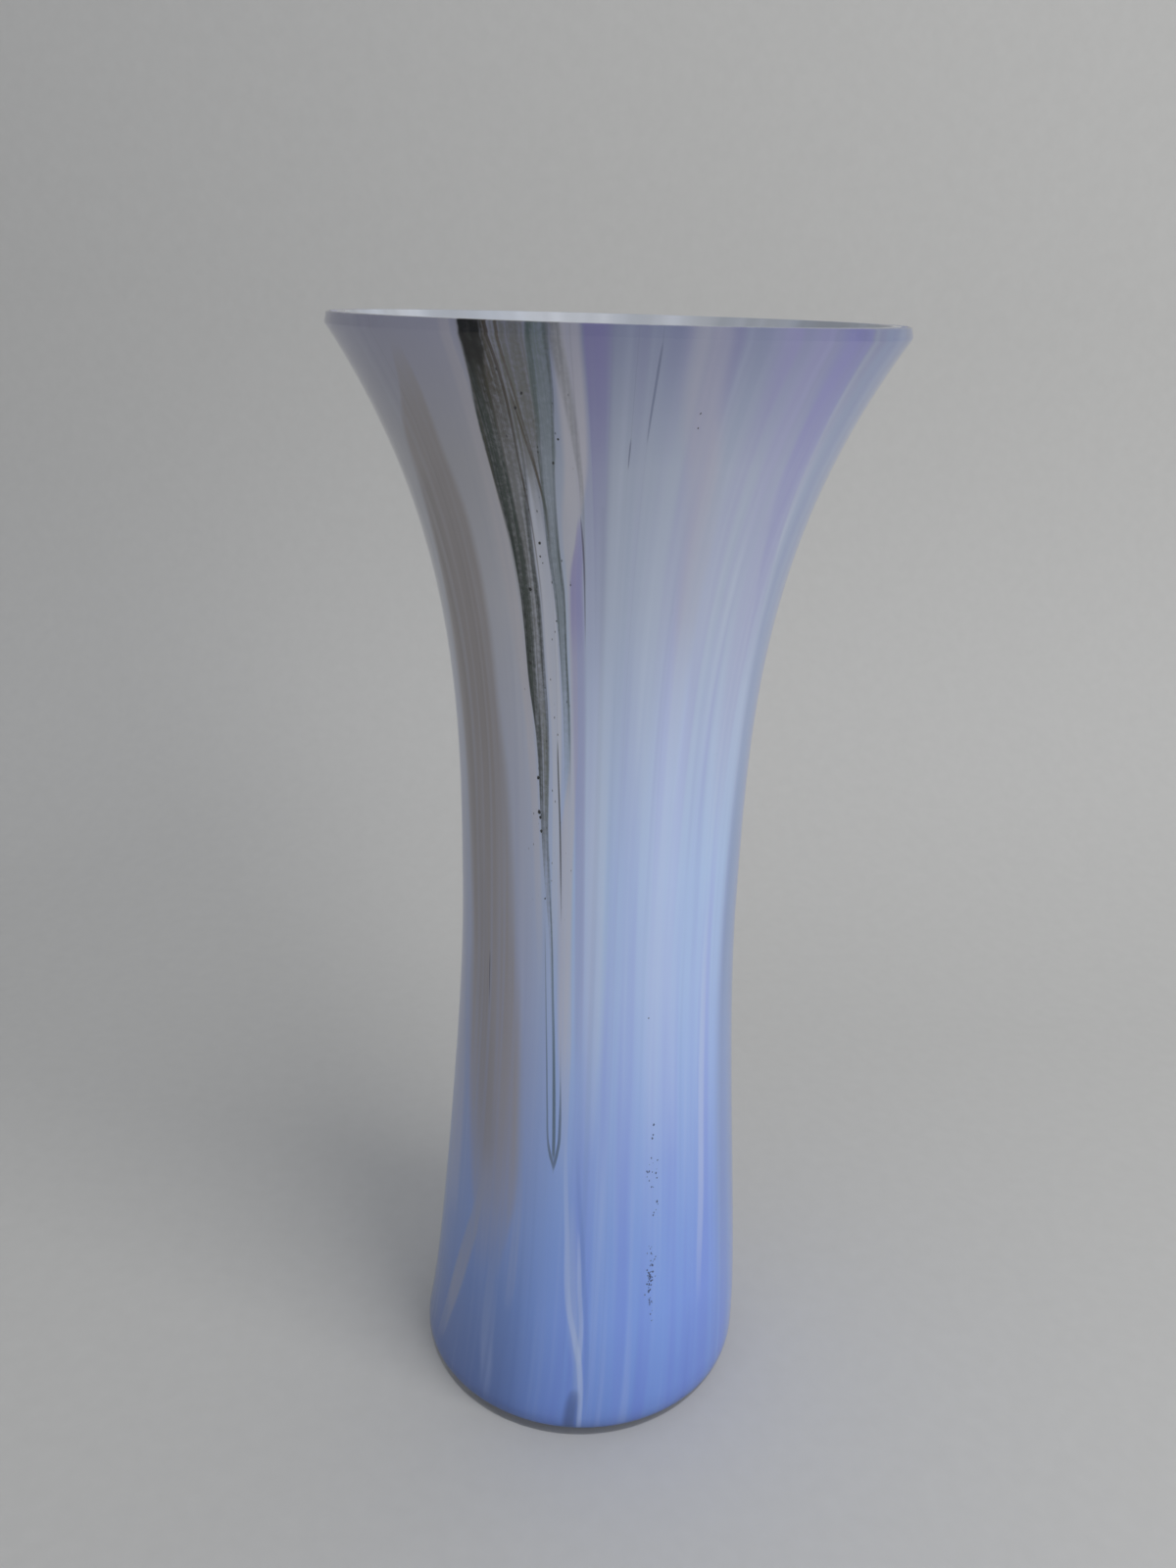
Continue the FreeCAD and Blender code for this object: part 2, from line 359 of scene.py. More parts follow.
def skin_sheets():
    """The skin laid out flat and cut up along the inlays: points, and the triangles of each piece."""
    flat = []
    for z in spread(SKIN_WALL_FOOT, HEIGHT, SKIN_ROWS):
        flat += [(azimuth, z) for azimuth in spread(-180.0, 180.0, SKIN_COLUMNS + 1)]
    owners, outlines = [], []
    for name, loops in inlay_outlines().items():
        for loop in loops:
            outlines.append(list(range(len(flat), len(flat) + len(loop))))
            owners.append(name)
            flat += loop
    points = [Vector((azimuth * FLAT_SCALE, z)) for azimuth, z in flat]
    verts, _, faces, _, _, sources = delaunay_2d_cdt(points, [], outlines, 0, 1e-7)
    sheets = {name: [] for name in ["blue_skin"] + owners}
    for face, source in zip(faces, sources):
        sheets[owners[max(source)] if source else "blue_skin"].append(face)
    return [(v.x / FLAT_SCALE, v.y) for v in verts], sheets


def placed(radius, azimuth, z):
    """The point at a radius, azimuth and height."""
    turn = math.radians(azimuth)
    return (radius * math.sin(turn), -radius * math.cos(turn), z)


def skin_floor(bm, face, shift):
    """The floor and corner of one face of the skin, up to where its wall starts."""
    outline = [p for p in inner_outline(face, SKIN_ROWS, shift) if p[1] < SKIN_WALL_FOOT - 1e-6]
    outline.append((face_radius(SKIN_WALL_FOOT, face["depth"] + shift), SKIN_WALL_FOOT))
    cup = turned_mesh(outline, SKIN_COLUMNS)
    mesh = bpy.data.meshes.new("cup")
    cup.to_mesh(mesh)
    cup.free()
    bm.from_mesh(mesh)
    bpy.data.meshes.remove(mesh)


def shell_mesh(points, triangles, closed_round):
    """A closed shell over some of the skin's triangles, as thick as the skin."""
    bm = bmesh.new()
    depths = (SKIN_FACE["depth"] + JOINT_GAP, LINING_FACE["depth"] - JOINT_GAP)
    used = sorted({k for triangle in triangles for k in triangle})
    outer, inner = ({k: bm.verts.new(placed(face_radius(points[k][1], depth), *points[k])) for k in used}
                    for depth in depths)
    sides = {}
    for triangle in triangles:
        bm.faces.new([outer[k] for k in triangle])
        bm.faces.new([inner[k] for k in reversed(triangle)])
        for a, b in zip(triangle, triangle[1:] + triangle[:1]):
            sides.setdefault(frozenset((a, b)), []).append((a, b))
    for uses in sides.values():
        a, b = uses[0]
        seam = closed_round and (abs(points[a][0]) > 179.9 and abs(points[b][0]) > 179.9
                                 or max(points[a][1], points[b][1]) < SKIN_WALL_FOOT + 1e-6)
        if len(uses) == 1 and not seam:
            bm.faces.new((outer[b], outer[a], inner[a], inner[b]))
    if closed_round:
        skin_floor(bm, SKIN_FACE, JOINT_GAP)
        skin_floor(bm, LINING_FACE, -JOINT_GAP)
        bmesh.ops.remove_doubles(bm, verts=bm.verts, dist=2e-6)
    return bm


# ---------------------------------------------------------------- stage and light

WALL_DISTANCE = 0.47
STAGE_WIDTH = 6.0
FLOOR_FRONT = -3.0
WALL_TOP = 2.6
COVE_RADIUS = 0.3

# Soft boxes: where each stands, what it is aimed at, its size in metres and its power in watts
KEY_LAMP = {"position": (0.85, -0.75, 0.75), "target": (0.0, 0.0, 0.15), "size": (0.9, 0.9),
            "power": 9.5, "mirrored": False, "tint": (1.0, 0.98, 0.95)}
OVERHEAD_LAMP = {"position": (0.0, -0.1, 1.3), "target": (0.0, 0.0, 0.1), "size": (1.2, 1.2),
                 "power": 3.5, "mirrored": True, "tint": (1.0, 1.0, 1.0)}
ROOM_COLOUR = (0.86, 0.90, 1.0, 1.0)
ROOM_STRENGTH = 0.28


def add_stage(material):
    """A pale floor that runs up through a small cove into the wall behind."""
    bm = bmesh.new()
    cove_start = (WALL_DISTANCE - COVE_RADIUS, 0.0)
    cove = arc_points(cove_start, (WALL_DISTANCE, 0.0), (WALL_DISTANCE, COVE_RADIUS), 32)
    profile = [(FLOOR_FRONT, 0.0)] + cove + [(WALL_DISTANCE, WALL_TOP)]
    rows = [[bm.verts.new((side * STAGE_WIDTH / 2, y, z)) for side in (-1, 1)] for y, z in profile]
    for low, high in zip(rows, rows[1:]):
        bm.faces.new((low[0], low[1], high[1], high[0]))
    mesh = bpy.data.meshes.new("stage")
    bm.to_mesh(mesh)
    bm.free()
    mesh.polygons.foreach_set("use_smooth", [True] * len(mesh.polygons))
    mesh.materials.append(material)
    stage = bpy.data.objects.new("stage", mesh)
    bpy.context.scene.collection.objects.link(stage)


def add_lamp(name, position, target, size, power, mirrored, tint):
    """A soft box that isn't seen itself, and is reflected in the glass only if mirrored is true."""
    data = bpy.data.lights.new(name, "AREA")
    data.shape = "RECTANGLE"
    data.size, data.size_y = size
    data.energy = power
    data.color = tint
    lamp = bpy.data.objects.new(name, data)
    place = Vector(position)
    turn = (place - Vector(target)).to_track_quat("Z", "Y").to_matrix().to_4x4()
    lamp.matrix_world = Matrix.Translation(place) @ turn
    lamp.visible_camera = False
    lamp.visible_glossy = mirrored
    bpy.context.scene.collection.objects.link(lamp)


def add_light():
    """Soft light from the right, from overhead and from the room all round."""
    add_lamp("key", **KEY_LAMP)
    add_lamp("overhead", **OVERHEAD_LAMP)
    world = bpy.data.worlds.new("room")
    world.use_nodes = True
    background = world.node_tree.nodes["Background"]
    background.inputs["Color"].default_value = ROOM_COLOUR
    background.inputs["Strength"].default_value = ROOM_STRENGTH
    bpy.context.scene.world = world
    bpy.context.scene.view_settings.view_transform = "Standard"


# ---------------------------------------------------------------- colour in the glass


def stroke(name, colour, soft, streaks, line, hair=False):
    """A stroke of colour drawn down the wall.

    colour is in sRGB. soft is how much of the half width fades out at the left and at the right side.
    streaks is how far streaks break the stroke up, which are as fine as hairs if hair is true. line holds
    its stations from the top down: (height in mm, azimuth, half its width in degrees, strength).
    """
    return {"name": name, "colour": colour, "soft": soft, "streaks": streaks, "line": line, "hair": hair}


# The strokes, in the order in which they lie over each other
STROKES = [
    stroke("smoke", (176, 168, 166), (0.35, 0.3), 0.35, line=[
        (296, -44, 1.5, 0.0), (287, -46, 4.0, 0.6), (275, -50.5, 8.5, 0.85), (258, -52, 12.0, 0.9),
        (237, -54.2, 14.6, 0.95), (218, -55.5, 16.0, 0.95), (190, -53.0, 17.0, 0.92),
        (150, -50.0, 17.5, 0.85), (127, -48.5, 19.0, 0.8), (103, -45.5, 18.0, 0.75),
        (78, -42, 15.5, 0.55), (62, -41.5, 11.0, 0.3), (45, -42, 7.0, 0.0)]),
    stroke("smoke_dark", (150, 142, 140), (0.6, 0.8), 0.6, line=[
        (270, -56, 4.0, 0.0), (250, -60, 6.0, 0.45), (206, -62, 6.0, 0.3), (150, -56, 8.0, 0.25),
        (100, -48, 8.0, 0.3), (76, -45, 5.0, 0.0)]),
    stroke("left_border", (186, 192, 222), (0.5, 0.5), 0.2, line=[
        (240, -80, 6.0, 0.0), (200, -79, 7.0, 0.5), (150, -80, 7.0, 0.8), (90, -72, 9.0, 0.7),
        (50, -70, 9.0, 0.0)]),
    stroke("pale_stripe", (214, 208, 212), (0.8, 0.5), 0.2, line=[
        (300, -30.6, 1.6, 0.35), (270, -31.2, 2.4, 0.5), (236, -30.2, 3.0, 0.55), (206, -27.6, 2.2, 0.5),
        (176, -25.4, 2.0, 0.35), (140, -23.0, 2.0, 0.0)]),
    stroke("pale_gap", (212, 214, 224), (0.4, 0.4), 0.3, line=[
        (276, -19.0, 0.5, 0.0), (266, -19.3, 1.3, 0.6), (252, -19.1, 2.2, 0.8), (241, -18.3, 2.5, 0.85),
        (228, -18.0, 2.7, 0.85), (206, -17.2, 2.2, 0.75), (176, -17.4, 1.8, 0.5),
        (140, -17.4, 1.6, 0.0)]),
    stroke("pale_right", (204, 200, 206), (0.5, 0.4), 0.35, line=[
        (300, -8.6, 3.0, 0.55), (276, -8.4, 3.4, 0.7), (256, -10.8, 2.6, 0.6), (236, -10.9, 1.6, 0.5),
        (206, -10.8, 1.8, 0.5), (190, -12.4, 2.8, 0.6), (176, -13.4, 3.6, 0.65), (140, -12.8, 3.6, 0.65),
        (112, -11.4, 2.6, 0.35), (84, -10.5, 1.6, 0.0)]),
    stroke("mist", (206, 217, 236), (0.8, 0.8), 0.2, line=[
        (240, -2.0, 3.0, 0.0), (206, -2.5, 6.0, 0.35), (175, -2.2, 6.5, 0.5), (140, -1.6, 6.5, 0.42),
        (112, -1.0, 5.0, 0.2), (90, -1.0, 4.0, 0.0)]),
    stroke("violet_stripe", (134, 128, 182), (0.25, 0.7), 0.3, line=[
        (300, -3.15, 2.8, 0.75), (284, -2.9, 2.5, 0.6), (270, -2.75, 2.3, 0.42), (255, -2.6, 2.1, 0.26),
        (236, -2.4, 1.9, 0.14), (212, -2.3, 1.7, 0.0)]),
    stroke("violet_thread", (148, 143, 194), (0.5, 0.6), 0.25, line=[
        (262, -8.0, 0.5, 0.0), (256, -8.4, 1.3, 0.6), (244, -9.5, 2.6, 0.75), (226, -9.2, 3.0, 0.45),
        (186, -8.1, 2.6, 0.42), (145, -6.9, 2.4, 0.32), (112, -6.0, 2.0, 0.0)]),
    stroke("rose", (178, 178, 194), (0.7, 0.7), 0.35, line=[
        (300, 15.5, 5.0, 0.65), (286, 17.0, 5.6, 0.7), (268, 22.0, 6.4, 0.6), (238, 24.5, 5.0, 0.4),
        (196, 26.0, 3.0, 0.0)]),
    stroke("lavender_light", (158, 156, 200), (0.7, 0.5), 0.45, line=[
        (300, 36.0, 14.0, 0.6), (284, 41.0, 13.0, 0.5), (262, 45.0, 10.0, 0.4), (225, 50.0, 7.0, 0.3),
        (176, 51.0, 5.0, 0.0)]),
    stroke("lavender_deep", (134, 132, 196), (0.6, 0.3), 0.3, line=[
        (300, 46.5, 6.0, 0.6), (284, 47.5, 6.0, 0.45), (262, 50.0, 5.0, 0.3), (240, 55.0, 4.0, 0.2),
        (215, 58.0, 3.0, 0.0)]),
    # painted shade: a darker blue band down the right side, where the wall turns away from the light
    stroke("right_edge_shade", (132, 150, 190), (0.5, 0.3), 0.15, line=[
        (300, 66.0, 13.0, 0.6), (262, 67.0, 13.0, 0.55), (206, 74.0, 14.0, 0.65), (150, 76.0, 18.0, 0.75),
        (110, 75.0, 18.0, 0.6), (60, 74.0, 18.0, 0.45), (20, 74.0, 18.0, 0.0)]),
    # partly the glass's own paler blue and partly painted light: a pale patch where the light falls
    # strongest on the right
    stroke("right_pale_and_lit", (196, 212, 244), (0.7, 0.5), 0.4, line=[
        (240, 22.0, 6.0, 0.0), (206, 24.0, 9.0, 0.35), (160, 24.0, 11.0, 0.45), (125, 26.0, 11.0, 0.3),
        (84, 30.0, 10.0, 0.0)]),
    # a painted reflection: a thin bright line down the right side, drawn as a stroke of pale colour
    stroke("painted_reflection_line", (198, 212, 240), (0.6, 0.6), 0.1, line=[
        (165, 50.0, 1.4, 0.0), (140, 50.0, 2.0, 0.35), (105, 49.6, 2.4, 0.45), (72, 49.4, 2.4, 0.4),
        (48, 48.2, 2.0, 0.2), (34, 48.0, 1.6, 0.0)]),
    stroke("veil_left", (170, 176, 200), (0.5, 0.5), 0.4, line=[
        (78, -45.5, 1.2, 0.0), (62, -49.5, 3.2, 0.6), (40, -56.4, 4.6, 0.75), (22, -62.0, 3.8, 0.5),
        (8, -66, 2.6, 0.0)]),
    stroke("veil_middle", (150, 170, 218), (0.6, 0.6), 0.4, line=[
        (60, -35.0, 0.8, 0.0), (44, -38.4, 3.2, 0.5), (26, -38.0, 4.2, 0.6), (14, -36.0, 3.6, 0.45),
        (5, -35.0, 2.6, 0.0)]),
    stroke("veil_right", (164, 180, 222), (0.6, 0.6), 0.4, line=[
        (84, -27.6, 0.8, 0.0), (66, -28.4, 2.4, 0.55), (52, -29.0, 2.4, 0.5), (36, -30.0, 1.8, 0.0)]),
    stroke("wisp_shade", (112, 142, 214), (0.8, 0.8), 0.1, line=[
        (96, -5.6, 1.2, 0.0), (60, -1.4, 1.4, 0.4), (30, 1.6, 1.4, 0.4), (6, 3.0, 1.4, 0.0)]),
    stroke("wisp_haze", (176, 196, 236), (0.9, 0.9), 0.1, line=[
        (80, -6.6, 1.5, 0.0), (60, -5.4, 3.4, 0.45), (42, -4.0, 3.6, 0.55), (25, -1.4, 2.4, 0.4),
        (10, -0.9, 1.6, 0.0)]),
    stroke("wisp", (190, 208, 244), (0.7, 0.7), 0.1, line=[
        (100, -9.9, 0.7, 0.0), (84, -9.2, 1.2, 0.35), (69, -8.0, 1.4, 0.45), (45, -6.0, 1.6, 0.5),
        (35, -3.2, 1.6, 0.6), (25, -0.6, 1.5, 0.65), (7, 1.4, 1.3, 0.55), (0, 2.0, 1.0, 0.45)]),
    stroke("wisp_branch", (196, 212, 246), (0.7, 0.7), 0.1, line=[
        (70, -3.6, 0.6, 0.0), (61, -2.9, 1.0, 0.35), (51, -2.2, 1.2, 0.45), (35, -0.8, 1.2, 0.45),
        (25, -0.8, 0.8, 0.0)]),
    stroke("foot_spot", (52, 66, 110), (0.8, 0.8), 0.0, line=[
        (18, -1.6, 1.4, 0.0), (9, -2.0, 3.6, 0.55), (4, -2.0, 3.2, 0.5), (0, -2.0, 2.0, 0.2)]),
    # the dark trail, with its edges and the fine lines in it
    stroke("grey_between", (112, 111, 100), (0.4, 0.4), 0.5, hair=True, line=[
        (300, -18.8, 4.0, 0.75), (288, -18.9, 4.0, 0.85), (276, -18.6, 3.0, 0.7), (266, -18.2, 2.0, 0.3),
        (256, -18.0, 1.5, 0.0)]),
    stroke("dark_body", (112, 112, 108), (0.25, 0.35), 0.6, hair=True, line=[
        (300, -25.2, 2.9, 0.95), (290, -25.0, 3.7, 0.9), (277, -24.7, 5.4, 0.8), (266, -24.9, 4.8, 0.8),
        (252, -24.8, 3.5, 0.85), (241, -24.1, 3.6, 0.85), (227, -24.2, 3.4, 0.85), (206, -22.7, 2.3, 0.8),
        (188, -22.5, 1.6, 0.6), (170, -20.9, 1.2, 0.4), (158, -19.3, 0.9, 0.3), (128, -17.0, 0.6, 0.0)]),
    stroke("dark_green", (60, 70, 65), (0.25, 0.4), 0.5, hair=True, line=[
        (298, -25.8, 1.8, 0.0), (290, -26.4, 2.3, 0.85), (277, -27.5, 2.7, 0.95), (265, -27.0, 2.4, 0.95),
        (251, -25.9, 2.1, 0.9), (237, -25.5, 2.0, 0.9), (226, -25.6, 1.9, 0.85), (206, -24.0, 1.2, 0.7),
        (188, -23.1, 0.8, 0.5), (170, -21.5, 0.6, 0.0)]),
    stroke("dark_left", (44, 54, 50), (0.5, 0.7), 0.5, hair=True, line=[
        (300, -26.9, 0.9, 0.9), (290, -27.6, 0.9, 0.8), (277, -29.0, 0.9, 0.7), (265, -28.5, 0.9, 0.7),
        (251, -27.2, 0.8, 0.7), (237, -26.7, 0.8, 0.7), (226, -26.8, 0.8, 0.7), (206, -24.6, 0.5, 0.5),
        (180, -22.9, 0.4, 0.0)]),
    stroke("dark_right", (46, 56, 54), (0.7, 0.4), 0.5, hair=True, line=[
        (274, -20.6, 0.5, 0.0), (264, -21.6, 0.8, 0.6), (252, -22.1, 0.95, 0.75), (241, -21.7, 1.0, 0.8),
        (227, -21.5, 0.9, 0.75), (206, -20.8, 0.9, 0.6), (188, -21.2, 0.7, 0.5), (168, -19.7, 0.6, 0.4),
        (156, -18.6, 0.5, 0.3), (130, -17.2, 0.4, 0.0)]),
    stroke("amber_patch", (78, 70, 54), (0.6, 0.6), 0.8, hair=True, line=[
        (300, -24.6, 3.2, 0.7), (293, -24.6, 3.2, 0.8), (285, -24.4, 3.0, 0.6), (268, -24.0, 2.2, 0.0)]),
    stroke("olive", (116, 120, 100), (0.6, 0.6), 0.4, hair=True, line=[
        (220, -22.6, 1.0, 0.0), (208, -21.6, 1.3, 0.5), (196, -21.3, 1.2, 0.55), (184, -21.4, 1.0, 0.4),
        (172, -20.8, 0.7, 0.0)]),
    stroke("brown_line", (70, 58, 42), (0.5, 0.5), 0.3, line=[
        (300, -22.6, 0.5, 0.9), (292, -21.9, 0.42, 0.85), (284, -21.7, 0.38, 0.8),
        (274, -21.8, 0.34, 0.7), (262, -21.1, 0.3, 0.6), (250, -20.6, 0.26, 0.4),
        (236, -20.2, 0.24, 0.0)]),
    stroke("brown_line_2", (88, 76, 58), (0.5, 0.5), 0.3, line=[
        (300, -20.6, 0.4, 0.7), (292, -20.2, 0.36, 0.7), (284, -19.4, 0.34, 0.7), (276, -18.4, 0.34, 0.7),
        (268, -17.4, 0.34, 0.6), (258, -16.6, 0.3, 0.3), (248, -16.2, 0.24, 0.0)]),
    stroke("black_patch", (10, 10, 9), (0.3, 0.5), 0.25, hair=True, line=[
        (300, -25.3, 2.7, 1.0), (296, -25.4, 2.6, 1.0), (292.5, -26.0, 2.1, 0.7), (286, -26.7, 1.6, 0.25),
        (278, -27.3, 1.2, 0.0)]),
    stroke("outer_line", (92, 88, 78), (0.5, 0.5), 0.4, line=[
        (296, -28.0, 0.3, 0.0), (286, -28.6, 0.35, 0.4), (270, -29.4, 0.35, 0.5), (252, -28.2, 0.3, 0.4),
        (230, -27.2, 0.26, 0.0)]),
    stroke("crossing_line", (84, 74, 54), (0.5, 0.5), 0.2, line=[
        (288, -20.6, 0.3, 0.0), (280, -19.6, 0.36, 0.8), (270, -17.8, 0.4, 0.8), (262, -16.5, 0.4, 0.6),
        (252, -16.4, 0.3, 0.0)]),
    # the green trail beside it
    stroke("green_body", (108, 122, 120), (0.3, 0.3), 0.5, hair=True, line=[
        (300, -13.4, 1.9, 0.85), (292, -13.9, 2.4, 0.75), (285, -14.2, 2.2, 0.7), (277, -14.2, 1.9, 0.6),
        (269, -15.4, 1.9, 0.5), (261, -15.6, 1.6, 0.55), (252, -15.2, 1.5, 0.65), (242, -14.5, 1.5, 0.65),
        (230, -14.2, 1.3, 0.6), (211, -13.3, 1.5, 0.45), (190, -13.0, 1.2, 0.0)]),
    stroke("green_left", (70, 86, 82), (0.6, 0.6), 0.4, hair=True, line=[
        (300, -14.8, 0.8, 0.7), (286, -15.6, 0.7, 0.5), (270, -16.7, 0.6, 0.5), (256, -16.9, 0.6, 0.7),
        (244, -16.0, 0.6, 0.65), (232, -15.3, 0.4, 0.4), (216, -14.6, 0.3, 0.0)]),
    stroke("green_right", (66, 78, 74), (0.7, 0.4), 0.4, hair=True, line=[
        (300, -12.0, 0.7, 0.6), (288, -12.1, 0.5, 0.5), (272, -13.6, 0.4, 0.4), (256, -14.2, 0.5, 0.6),
        (243, -13.5, 0.6, 0.7), (230, -13.4, 0.55, 0.7), (216, -12.8, 0.5, 0.5), (200, -12.2, 0.3, 0.0)]),
    stroke("grey_streak", (122, 124, 126), (0.7, 0.7), 0.5, hair=True, line=[
        (300, -10.8, 1.9, 0.8), (292, -9.8, 1.7, 0.6), (285, -8.9, 1.5, 0.5), (274, -7.8, 1.0, 0.5),
        (268, -7.3, 0.7, 0.45), (256, -7.1, 0.5, 0.3), (244, -6.8, 0.4, 0.0)]),
    stroke("thin_middle", (70, 72, 74), (0.6, 0.6), 0.3, line=[
        (208, -16.9, 0.2, 0.0), (200, -16.7, 0.42, 0.85), (184, -15.8, 0.46, 0.85),
        (166, -15.0, 0.34, 0.5), (158, -14.7, 0.2, 0.0)]),
    stroke("thin_right", (92, 88, 110), (0.5, 0.5), 0.1, line=[
        (262, -7.8, 0.15, 0.0), (254, -7.3, 0.34, 0.75), (244, -7.1, 0.3, 0.6), (230, -7.0, 0.15, 0.0)]),
    stroke("thin_blue", (116, 124, 152), (0.5, 0.5), 0.1, line=[
        (298, 7.5, 0.12, 0.0), (294, 7.4, 0.28, 0.8), (290, 7.3, 0.3, 0.8), (281, 7.0, 0.26, 0.6),
        (277, 6.9, 0.12, 0.0)]),
    stroke("thin_blue_2", (106, 112, 138), (0.5, 0.5), 0.1, line=[
        (279, 3.5, 0.1, 0.0), (276, 3.4, 0.24, 0.7), (272, 3.3, 0.1, 0.0)]),
    # the drawn loop, and the strand that runs down into it
    stroke("strand", (80, 100, 106), (0.7, 0.7), 0.2, line=[
        (170, -20.0, 0.3, 0.0), (156, -18.6, 0.5, 0.45), (140, -17.6, 0.7, 0.6), (118, -16.0, 0.85, 0.8),
        (100, -14.9, 1.0, 0.85), (92, -14.6, 0.9, 0.8), (86, -14.4, 0.4, 0.0), (70, -14.4, 0.3, 0.0)]),
    stroke("loop_left", (96, 112, 132), (0.6, 0.6), 0.2, line=[
        (160, -21.6, 0.2, 0.0), (146, -20.9, 0.35, 0.45), (129, -19.8, 0.4, 0.55),
        (117, -18.9, 0.45, 0.65), (105, -18.0, 0.5, 0.75), (95, -17.0, 0.6, 0.8), (91, -15.8, 0.8, 0.85),
        (88, -14.6, 0.6, 0.7), (85, -14.4, 0.4, 0.0), (70, -14.4, 0.3, 0.0)]),
    stroke("loop_right", (88, 106, 128), (0.6, 0.6), 0.2, line=[
        (130, -13.8, 0.2, 0.0), (116, -13.1, 0.3, 0.3), (105, -12.6, 0.6, 0.75), (97, -12.5, 0.8, 0.8),
        (92, -13.2, 0.8, 0.85), (88, -14.1, 0.6, 0.7), (85, -14.4, 0.4, 0.0), (70, -14.4, 0.3, 0.0)]),
    stroke("tick", (92, 92, 104), (0.6, 0.6), 0.2, line=[
        (145, -49.5, 0.2, 0.0), (139, -49.5, 0.5, 0.7), (132, -49.2, 0.4, 0.4), (126, -49.0, 0.2, 0.0)]),
]

# Colour of the ground from the rim down, each as (height in mm, sRGB): on the right, and on the left
GROUND_RIGHT = [
    (300, (144, 151, 180)), (272, (174, 183, 202)), (240, (180, 191, 212)), (206, (182, 198, 227)),
    (170, (179, 202, 238)), (140, (175, 199, 240)), (112, (164, 190, 240)), (88, (152, 180, 238)),
    (64, (140, 172, 238)), (40, (134, 168, 240)), (12, (120, 154, 228)), (0, (104, 134, 206)),
]
# The left ground's darker blue at the foot is partly painted shade, where the vase's own shadow keeps
# bounced light off the left of its foot.
GROUND_LEFT_WITH_FOOT_SHADE = [
    (300, (180, 180, 200)), (272, (196, 195, 201)), (240, (209, 209, 216)), (206, (204, 207, 222)),
    (170, (194, 200, 222)), (140, (184, 193, 224)), (112, (170, 183, 222)), (88, (158, 177, 226)),
    (64, (144, 170, 228)), (40, (124, 154, 218)), (12, (106, 134, 196)), (0, (92, 118, 182)),
]


def tint(red, green, blue):
    """A linear colour from sRGB values of 0 to 255."""
    channels = []
    for value in (red, green, blue):
        v = value / 255.0
        channels.append(v / 12.92 if v <= 0.04045 else ((v + 0.055) / 1.055) ** 2.4)
    return (*channels, 1.0)


class Paint:
    """A material's node tree, built by calls that each add a node and return one of its outputs."""

    def __init__(self, name):
        self.material = bpy.data.materials.new(name)
        self.material.use_nodes = True
        self.tree = self.material.node_tree
        self.tree.nodes.clear()

    def feed(self, socket, value):
        """Links an input to another node's output, or gives it a plain value."""
        if isinstance(value, bpy.types.NodeSocket):
            self.tree.links.new(value, socket)
        else:
            socket.default_value = value

    def node(self, kind, inputs, output=0, **settings):
        """Adds a node and returns one of its outputs."""
        node = self.tree.nodes.new(kind)
        for setting, value in settings.items():
            setattr(node, setting, value)
        for key, value in inputs.items():
            self.feed(node.inputs[key], value)
        return node.outputs[output]

    def math(self, operation, *values):
        """The result of one operation on some values."""
        return self.node("ShaderNodeMath", dict(enumerate(values)), operation=operation)

    def smooth(self, value, low, high, start=0.0, end=1.0):
        """start below low and end above high, with a soft step between them."""
        inputs = {"Value": value, "From Min": low, "From Max": high, "To Min": start, "To Max": end}
        return self.node("ShaderNodeMapRange", inputs, interpolation_type="SMOOTHSTEP")

    def mix(self, factor, first, second, blend="MIX"):
        """The first colour where factor is 0, and the second where it is 1."""
        inputs = {0: factor, 6: first, 7: second}
        return self.node("ShaderNodeMix", inputs, 2, data_type="RGBA", blend_type=blend)

    def noise(self, vector, scale, detail=2.0, roughness=0.5):
        """Smooth noise from 0 to 1, mostly near 0.5."""
        inputs = {"Vector": vector, "Scale": scale, "Detail": detail, "Roughness": roughness}
        return self.node("ShaderNodeTexNoise", inputs)

    def vector(self, x, y, z):
        """A vector from three values."""
        return self.node("ShaderNodeCombineXYZ", {0: x, 1: y, 2: z})

    def curve(self, value, points):
        """A smooth curve through (position, value) points, all from 0 to 1."""
        output = self.node("ShaderNodeFloatCurve", {"Value": value})
        mapping = output.node.mapping
        mapping.extend = "HORIZONTAL"
        knots = mapping.curves[0].points
        ordered = sorted(points)
        knots[0].location, knots[1].location = ordered[0], ordered[-1]
        for point in ordered[1:-1]:
            knots.new(*point)
        for knot in knots:
            knot.handle_type = "AUTO_CLAMPED"
        mapping.update()
        return output

    def ramp(self, value, stops):
        """A colour that runs through (position, colour) stops."""
        output = self.node("ShaderNodeValToRGB", {"Fac": value})
        elements = output.node.color_ramp.elements
        ordered = sorted(stops)
        elements[0].position, elements[0].color = ordered[0]
        elements[1].position, elements[1].color = ordered[-1]
        for position, colour in ordered[1:-1]:
            elements.new(position).color = colour
        return output

    def show(self, shader):
        """Makes a shader the material's surface."""
        output = self.tree.nodes.new("ShaderNodeOutputMaterial")
        self.tree.links.new(shader, output.inputs["Surface"])


